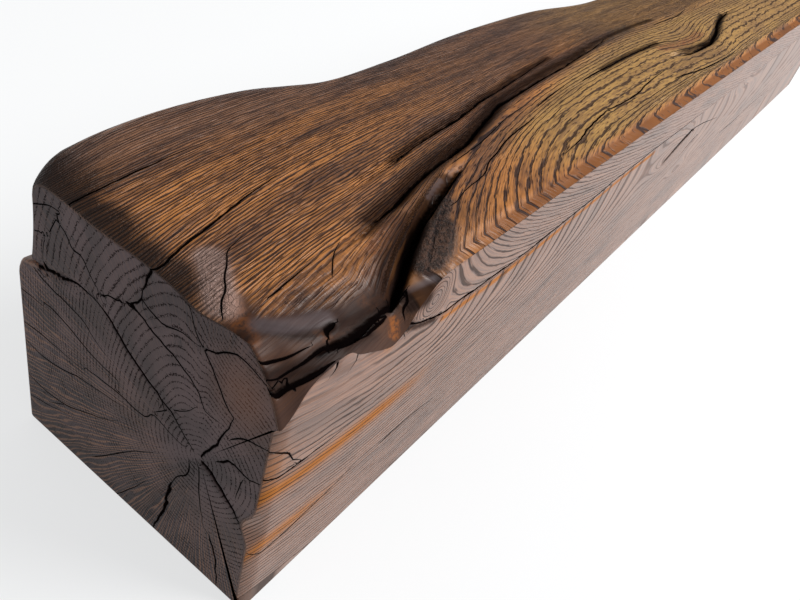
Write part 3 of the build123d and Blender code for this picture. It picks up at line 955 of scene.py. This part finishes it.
# besides stains, these fields carry painted shade, a painted reflection and a painted sheen
for name, parts in {
    "logPlace": (allX, allY - heartY, allZ - heartZ),
    "faces": (endOnly, topMask, frontMask),
    "shadeAndStainA": (paintedShade, olive, orange),
    "reflectionAndStainB": (backReflection, painted["bleach"], painted["burl"]),
    "stainC": (streak + brownEnd, painted["figure"] + figure, shoulder),
    "shadeStainSheenD": (painted["gapShade"], dark, painted["sheen"]),
    "stainAndShadeE": (painted["ochre"], ringed, painted["shade"]),
}.items():
    addField(beam.data, name, np.stack(parts, 1))
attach(beam, "root")
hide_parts("oak_beam")
print("stage: fields")


class Wire:
    # one output socket of a shader node; sums on it add Math nodes

    def __init__(self, socket):
        self.socket = socket

    @staticmethod
    def make(nodeTree, kind, settings=None, feeds=None, output=0):
        # adds a node: its settings first, then its sockets, each fed by a value or by another wire;
        # gives one output, or all of them when output is None
        node = nodeTree.nodes.new(kind)
        for name, value in (settings or {}).items():
            setattr(node, name, value)
        for name, value in (feeds or {}).items():
            if isinstance(value, Wire):
                nodeTree.links.new(value.socket, node.inputs[name])
            else:
                node.inputs[name].default_value = value
        if output is None:
            return [Wire(socket) for socket in node.outputs]
        return Wire(node.outputs[output])

    def maths(self, operation, first, second=None, clamp=False):
        feeds = {0: first} if second is None else {0: first, 1: second}
        settings = {"operation": operation, "use_clamp": clamp}
        return Wire.make(self.socket.id_data, "ShaderNodeMath", settings, feeds)

    def __add__(self, other): return self.maths("ADD", self, other)
    def __radd__(self, other): return self.maths("ADD", other, self)
    def __sub__(self, other): return self.maths("SUBTRACT", self, other)
    def __rsub__(self, other): return self.maths("SUBTRACT", other, self)
    def __mul__(self, other): return self.maths("MULTIPLY", self, other)
    def __rmul__(self, other): return self.maths("MULTIPLY", other, self)
    def __truediv__(self, other): return self.maths("DIVIDE", self, other)
    def __rtruediv__(self, other): return self.maths("DIVIDE", other, self)
    def size(self): return self.maths("ABSOLUTE", self)
    def part(self): return self.maths("FRACT", self)
    def held(self): return self.maths("ADD", self, 0.0, clamp=True)
    def least(self, other): return self.maths("MINIMUM", self, other)
    def most(self, other): return self.maths("MAXIMUM", self, other)
    def sine(self): return self.maths("SINE", self)
    def cosine(self): return self.maths("COSINE", self)
    def angle(self, other): return self.maths("ARCTAN2", self, other)

    def teeth(self):
        # one at each whole number, falling straight to nought half way between
        return ((self.part() - 0.5) * 2.0).size()

    def ease(self, start, end):
        # smooth step from nought at start to one at end
        return Wire.make(self.socket.id_data, "ShaderNodeMapRange", {"interpolation_type": "SMOOTHSTEP"},
                         {"Value": self, "From Min": start, "From Max": end})


def linear(red, green, blue):
    # a screen colour, 0 to 255, as the linear colour that a shader socket takes
    values = []
    for value in (red, green, blue):
        value = value / 255
        values.append(value / 12.92 if value <= 0.04045 else ((value + 0.055) / 1.055) ** 2.4)
    return (*values, 1.0)


def newMaterial(name):
    # an empty material and its node tree
    material = bpy.data.materials.new(name)
    material.use_nodes = True
    material.node_tree.nodes.clear()
    return material, material.node_tree


def blend(share, first, second):
    # colour that goes from the first to the second as share goes from nought to one
    return Wire.make(share.socket.id_data, "ShaderNodeMix", {"data_type": "RGBA", "clamp_factor": True},
                     {0: share, 6: first, 7: second}, 2)


def coated(tint, coats):
    # lays coats over a colour, one after the other: how much of each shows, and its colour
    for share, coat in coats:
        tint = blend(share, tint, colour[coat] if isinstance(coat, str) else coat)
    return tint


def readField(nodeTree, name, output=1):
    # a vertex field: output 1 is its vector, 2 its number
    return Wire.make(nodeTree, "ShaderNodeAttribute", {"attribute_name": name}, output=output)


def splitUp(vector):
    return Wire.make(vector.socket.id_data, "ShaderNodeSeparateXYZ", {}, {0: vector}, None)


def placeAt(first, second, third):
    return Wire.make(first.socket.id_data, "ShaderNodeCombineXYZ", {}, {0: first, 1: second, 2: third})


def noiseAt(first, second, third=0.0, detail=2.0, roughness=0.55):
    # noise at a place given by three numbers; its blobs are about one unit wide in each
    return Wire.make(first.socket.id_data, "ShaderNodeTexNoise", {}, {
        "Vector": placeAt(first, second, third), "Scale": 1.0, "Detail": detail, "Roughness": roughness,
    })


def scalesAt(first, second, third):
    # distance to the nearest border between cells about one unit wide
    return Wire.make(first.socket.id_data, "ShaderNodeTexVoronoi", {"feature": "DISTANCE_TO_EDGE"}, {
        "Vector": placeAt(first, second, third), "Scale": 1.0,
    })


oakColours = {
    "topLight": (172, 110, 52),
    "topMiddle": (116, 72, 40),
    "topDark": (42, 31, 32),
    # greyer wood at the back of the top, a painted reflection
    "greyLight": (128, 88, 62),
    "greyMiddle": (88, 60, 47),
    "oliveLight": (172, 130, 68),
    "oliveMiddle": (130, 94, 52),
    "oliveDark": (58, 40, 32),
    "arrisOrange": (122, 72, 30),
    # painted shade on the round at the near end and beside the cracks
    "paintedShade": (40, 26, 21),
    "bleach": (150, 120, 108),
    "burl": (72, 50, 40),
    "burlDark": (28, 19, 17),
    "shoulder": (62, 43, 36),
    # painted reflection, blue-grey
    "sheen": (88, 78, 80),
    "ochre": (134, 78, 36),
    # dark wood, and painted shade in the grooves and the fissure
    "dark": (34, 22, 18),
    "frontLight": (138, 94, 68),
    "frontMiddle": (104, 68, 50),
    "frontDark": (40, 25, 20),
    "streak": (160, 98, 40),
    "endLight": (77, 61, 62),
    "endMiddle": (53, 41, 42),
    "endDark": (16, 10, 9),
    "endRay": (126, 92, 74),
    "endBrown": (92, 62, 50),
    # painted shade in the gaps of the cracks
    "crack": (7, 4, 4),
}
colour = {name: linear(*screen) for name, screen in oakColours.items()}

# the oil's sheen, and how many rays and checks run round the near end
oakFinish = {
    "refraction": 1.5,
    "roughness": 0.42,
    "dullRoughness": 0.9,
    "endRays": 260,
    "endChecks": 34,
}

oak, oakTree = newMaterial("oiledOak")
alongWire, logY, logZ = splitUp(readField(oakTree, "logPlace"))
rings = readField(oakTree, "rings", 2)
crackSide, crackNear, crackHalf = splitUp(readField(oakTree, "crackLine"))
isEnd, isTop, isFront = splitUp(readField(oakTree, "faces"))
isRoundShade, isOlive, isOrange = splitUp(readField(oakTree, "shadeAndStainA"))
isBackReflection, isBleach, isBurl = splitUp(readField(oakTree, "reflectionAndStainB"))
isStreak, isFigure, isShoulder = splitUp(readField(oakTree, "stainC"))
isGapShade, isDark, isSheen = splitUp(readField(oakTree, "shadeStainSheenD"))
isOchre, isRinged, isShade = splitUp(readField(oakTree, "stainAndShadeE"))

# noise stretched along the grain: long streaks, short dashes, pores, fibres and broad patches
streaks = noiseAt(alongWire * 0.014, rings * 1.3, 0.0, 3.0, 0.6)
dashes = noiseAt(alongWire * 0.032, rings * 3.2, 9.0, 2.0)
pores = noiseAt(alongWire * 0.12, rings * 6.5, 21.0, 1.0)
wobble = noiseAt(alongWire * 0.045, rings * 0.6, 47.0, 2.0)
fibres = noiseAt(alongWire * 0.02, rings * 5.0, 13.0, 2.0)
patches = noiseAt(alongWire * 0.012, rings * 0.22, 71.0, 2.0)
crossGrain = noiseAt(alongWire * 1.2, rings * 0.9, 5.0, 1.0)
# and plain noise: lumps and specks of rough wood, the scales of the bleached place, slow changes
lumps = noiseAt(alongWire * 0.55, logY * 0.55, logZ * 0.55, 3.0, 0.65)
specks = noiseAt(alongWire * 1.6, logY * 1.6, logZ * 1.6, 2.0, 0.6)
scales = scalesAt(alongWire * 0.3, logY * 0.42, logZ * 0.42)
slow = noiseAt(alongWire * 0.05, logY * 0.09, logZ * 0.09)

# ring lines: nought between two lines, one on a line; the half lines are twice as many
waver = (wobble - 0.5) * (0.9 + isRinged * 0.2) + (streaks - 0.5) * 0.4
phase = rings + waver * (1 - isEnd)
ringLine = phase.teeth()
halfLine = (phase * 2.0).teeth()

# cracks: painted shade in each gap, dark where the signed distance, made a little ragged, falls within
# the half width; painted shade also fades out beside each crack
crackNoise = noiseAt(alongWire * 0.5, logY * 0.6, logZ * 0.6, 3.0, 0.7)
ragged = crackSide + (crackNoise - 0.5) * (crackHalf * 1.1).least(0.5)
crackMark = (1 - (ragged.size() / crackHalf).ease(0.6, 1.3)) * (1 - crackNear.ease(2.4, 3.2))
crackEdgeShade = (1 - (crackNear / (crackHalf * 1.6 + 0.8)).ease(0.2, 1.0)) * 0.3

# top: light wood between dark brushed lines, which are bolder and fewer where it is ringed
brushedLine = (halfLine * 0.8 + (streaks - 0.5) * 1.1 + (dashes - 0.5) * 0.9).ease(0.30, 0.72)
ringedLine = (ringLine + (dashes - 0.5) * 0.9 + (pores - 0.5) * 0.6 - isOrange * 0.1).ease(0.64, 0.92)
topDark = brushedLine * (1 - isRinged) * (1 - isFigure * 0.6) + ringedLine * isRinged * (1 - isFigure * 0.3)
topWarm = ((fibres + pores) * 0.5 + (streaks - 0.5) * 0.2 + (patches - 0.5) * 0.5).ease(0.36, 0.64)
poreMark = (pores + topDark * 0.05).ease(0.60, 0.70) * (1 - isBackReflection * 0.5)
scaleEdge = (1 - scales.ease(0.0, 0.1)) * isBleach
lineShare = (topDark * 0.9).most(poreMark * 0.6)
lineShare = lineShare * (1 - isShoulder * 0.9) * (1 - isBleach * 0.75) * (1 - isBackReflection * 0.3)
# the back of the top is greyed by a painted reflection
lightWood, middleWood = (
    coated(colour["top" + tone], [
        (isBackReflection, "grey" + tone), (isOlive, "olive" + tone), (isOrange, "arrisOrange"),
    ])
    for tone in ("Light", "Middle")
)
# top: wood tones and stains, then painted shade (the soft shade, the dark strokes, the near end's round, the
# gaps) and the painted sheen laid over them
topTint = coated(blend(topWarm, lightWood, middleWood), [
    (isShoulder * 0.92, "shoulder"),
    (isOchre * lumps.ease(0.3, 0.6), "ochre"),
    (isShade * (0.35 + slow * 0.4), "dark"),
    ((isBleach * lumps.ease(0.15, 0.4) * 1.3).held(), "bleach"),
    (isFigure * crossGrain.ease(0.45, 0.62) * 0.28, "topDark"),
    (lineShare, blend(isOlive, colour["topDark"], colour["oliveDark"])),
    ((patches - 0.42).ease(0.0, 0.3) * 0.3 * (1 - isOlive), "topDark"),
    (scaleEdge * 0.2, "topDark"),
    (isBurl.ease(0.05, 0.85) * 0.9, blend(lumps.ease(0.42, 0.6), colour["burlDark"], colour["burl"])),
    (isDark * (0.84 + topDark * 0.1), "dark"),
    (isSheen * (0.25 + slow * 0.5), "sheen"),
    (isRoundShade * (0.86 + topDark * 0.1), "paintedShade"),
    (isGapShade * 0.9, "crack"),
])

# front: thin ring lines on satin wood
frontLine = (ringLine + (dashes - 0.5) * 1.0).ease(0.60, 0.95)
frontLine = frontLine * (1 - isFigure * 0.6) * (1 - alongWire.ease(220.0, 520.0) * 0.55)
frontTint = coated(colour["frontLight"], [
    (fibres.ease(0.35, 0.65), "frontMiddle"),
    ((patches - 0.45).ease(0.0, 0.25) * 0.35, "frontDark"),
    ((isStreak * 1.3).held() * (1 - fibres.ease(0.5, 0.7) * 0.3), "streak"),
    ((frontLine * 0.85).most(poreMark * 0.25), "frontDark"),
    (isDark * 0.85, "dark"),
])

# end grain: dotted pore rows, fine pale rays from the heart and dark checks between them
turn = logZ.angle(logY)
rayNoise = noiseAt(turn.cosine() * 9.0, turn.sine() * 9.0, rings * 0.04, 2.0)
spoke = (turn * (oakFinish["endRays"] / (2 * math.pi)) + rayNoise * 5.0).teeth()
rays = (spoke + (rayNoise - 0.5) * 0.8).ease(0.5, 0.95) * rings.ease(3.0, 12.0)
check = (turn * (oakFinish["endChecks"] / (2 * math.pi)) + rayNoise * 5.0 + slow * 0.5).teeth()
checkLine = check.ease(0.95, 0.985) * slow.ease(0.44, 0.56) * rings.ease(3.0, 10.0)
dots = noiseAt(logY * 1.3, logZ * 1.3, 61.0, 1.0)
endLine = (ringLine + (dots - 0.5) * 1.8 + (slow - 0.5) * 0.8).ease(0.76, 1.1)
isEndBrown = isStreak * isEnd
endTint = coated(colour["endLight"], [
    (noiseAt(alongWire, logY * 0.05, logZ * 0.05).ease(0.35, 0.65), "endMiddle"),
    ((1 - logZ.ease(-80.0, 20.0)) * 0.3, "endDark"),
    (rays * 0.8 * (1 - (logZ - logY * 0.5).ease(-70.0, 20.0) * 0.85), "endRay"),
    (isEndBrown, "endBrown"),
    ((endLine * 0.85).most(checkLine * 0.8) * (1 - isEndBrown * 0.8), "endDark"),
])

# the back and the bottom have the front's wood with darker lines
tint = coated(frontTint, [
    ((frontLine * 0.5).most(poreMark * 0.4), "topDark"),
    (isTop, topTint),
    (isFront, frontTint),
    (isEnd, endTint),
    # painted shade beside each crack and in its gap
    (crackEdgeShade, "paintedShade"),
    (crackMark, "crack"),
])

# height in millimetres for the bump: cracks and brushed lines sink, rough places are lumpy
height = 0.0 - crackMark * 1.2 - scaleEdge * 0.3
height = height - isTop * (1 - isShoulder * 0.95) * (topDark * 0.7 + poreMark * 0.3 - fibres * 0.5)
height = height - isFront * (frontLine * 0.15 + poreMark * 0.05) - isEnd * endLine * 0.15
height = height + (isBurl * 1.7 + isRoundShade * 1.2 + isBleach * 1.6) * lumps + isBurl * specks * 0.9
height = height + isFigure * isTop * crossGrain * 0.2
bump = Wire.make(oakTree, "ShaderNodeBump", {}, {"Strength": 1.0, "Distance": mm, "Height": height})

# oiled wood has a satin sheen, which its dull parts lack
satin = Wire.make(oakTree, "ShaderNodeBsdfPrincipled", {}, {
    "Base Color": tint, "Normal": bump, "IOR": oakFinish["refraction"],
    "Roughness": oakFinish["roughness"] - isFront * 0.12 + topDark * isTop * 0.15 + isEnd * 0.1,
})
matte = Wire.make(oakTree, "ShaderNodeBsdfPrincipled", {}, {
    "Base Color": tint, "Normal": bump, "IOR": oakFinish["refraction"],
    "Roughness": oakFinish["dullRoughness"], "Specular IOR Level": 0.0,
})
dull = crackMark
for part in (
    isTop * topDark * 0.6, isTop * poreMark * 0.7, isRoundShade * 0.5, isOrange * 0.5,
    isEnd * (0.4 + endLine * 0.5), isFront * frontLine * 0.6, isDark * 0.85, isBurl * 0.45,
    isTop * isShoulder * 0.72, isFront * isStreak * 0.85, isGapShade,
):
    dull = dull.most(part)
wood = Wire.make(oakTree, "ShaderNodeMixShader", {}, {0: dull.held(), 1: satin, 2: matte})
Wire.make(oakTree, "ShaderNodeOutputMaterial", {}, {"Surface": wood}, None)
beam.data.materials.append(oak)
print("stage: finish")

studio = {
    "floorSize": 40.0,
    "floorColour": (0.9, 0.905, 0.91, 1.0),
    "floorGlow": (0.955, 0.962, 0.968, 1.0),
    "floorShare": 0.68,
    "skyColour": (0.95, 0.96, 0.965, 1.0),
    "skyDiffuse": 0.55,
    "skyGlossy": 0.22,
    "keyPower": 95.0,
    "keySize": 1.8,
    "keyPlace": (0.9, -1.7, 2.0),
    "keyAim": (-0.2, 0.0, 0.1),
}

# pale floor, which glows where it is seen directly or mirrored
floorMesh = bpy.data.meshes.new("floor")
half = studio["floorSize"] / 2
floorCorners = [(-half, -half, 0), (half, -half, 0), (half, half, 0), (-half, half, 0)]
floorMesh.from_pydata(floorCorners, [], [(0, 1, 2, 3)])
floor = bpy.data.objects.new("floor", floorMesh)
bpy.context.scene.collection.objects.link(floor)
floorMaterial, floorTree = newMaterial("paleFloor")
seen = [Wire.make(floorTree, "ShaderNodeLightPath", output=f"Is {ray} Ray")
        for ray in ("Camera", "Glossy", "Transmission")]
lit = Wire.make(floorTree, "ShaderNodeBsdfDiffuse", {}, {"Color": studio["floorColour"]})
glow = Wire.make(floorTree, "ShaderNodeEmission", {}, {"Color": studio["floorGlow"], "Strength": 1.0})
share = (seen[0] + seen[1] + seen[2]).held() * studio["floorShare"]
floorLook = Wire.make(floorTree, "ShaderNodeMixShader", {}, {0: share, 1: lit, 2: glow})
Wire.make(floorTree, "ShaderNodeOutputMaterial", {}, {"Surface": floorLook}, None)
floorMesh.materials.append(floorMaterial)

# sky: full where the camera sees it, weaker in reflections and as light
world = bpy.data.worlds.new("studio")
bpy.context.scene.world = world
world.use_nodes = True
worldTree = world.node_tree
worldTree.nodes.clear()
around, mirrored, behind = (
    Wire.make(worldTree, "ShaderNodeBackground", {}, {"Color": studio["skyColour"], "Strength": strength})
    for strength in (studio["skyDiffuse"], studio["skyGlossy"], 1.0))
seenGlossy = Wire.make(worldTree, "ShaderNodeLightPath", output="Is Glossy Ray")
seenDirect = Wire.make(worldTree, "ShaderNodeLightPath", output="Is Camera Ray")
aroundSky = Wire.make(worldTree, "ShaderNodeMixShader", {}, {0: seenGlossy, 1: around, 2: mirrored})
wholeSky = Wire.make(worldTree, "ShaderNodeMixShader", {}, {0: seenDirect, 1: aroundSky, 2: behind})
Wire.make(worldTree, "ShaderNodeOutputWorld", {}, {"Surface": wholeSky}, None)

# one large soft lamp
key = bpy.data.lights.new("keyLight", "AREA")
key.shape = "DISK"
key.size = studio["keySize"]
key.energy = studio["keyPower"]
keyLight = bpy.data.objects.new("keyLight", key)
keyLight.location = studio["keyPlace"]
keyWay = Vector(studio["keyAim"]) - Vector(studio["keyPlace"])
keyLight.rotation_euler = keyWay.to_track_quat("-Z", "Y").to_euler()
bpy.context.scene.collection.objects.link(keyLight)

# camera: its three directions, and its place moved from the beam's corner frame to the row's frame
azimuth, elevation, roll = (math.radians(camera[name]) for name in ("azimuth", "elevation", "roll"))
level = math.cos(elevation)
forward = Vector((-math.sin(azimuth) * level, math.cos(azimuth) * level, -math.sin(elevation)))
levelRight = Vector((math.cos(azimuth), math.sin(azimuth), 0))
levelUp = levelRight.cross(forward)
right = levelRight * math.cos(roll) + levelUp * math.sin(roll)
up = levelUp * math.cos(roll) - levelRight * math.sin(roll)
placeX, placeY, placeZ = camera["place"]
eye = Vector((placeX * mm + nodeLow.x, placeY * mm + nodeLow.y, placeZ * mm))
lens = bpy.data.cameras.new("photoCamera")
lens.sensor_width = camera["sensorWidth"]
lens.lens = camera["sensorWidth"] * camera["focalPixels"] / camera["pictureWidth"]
lens.clip_start = 0.01
photoCamera = bpy.data.objects.new("photoCamera", lens)
photoCamera.matrix_world = Matrix.Translation(eye) @ Matrix((right, up, -forward)).transposed().to_4x4()
bpy.context.scene.collection.objects.link(photoCamera)
bpy.context.scene.camera = photoCamera
bpy.context.scene.view_settings.view_transform = "Standard"
print("stage: studio")
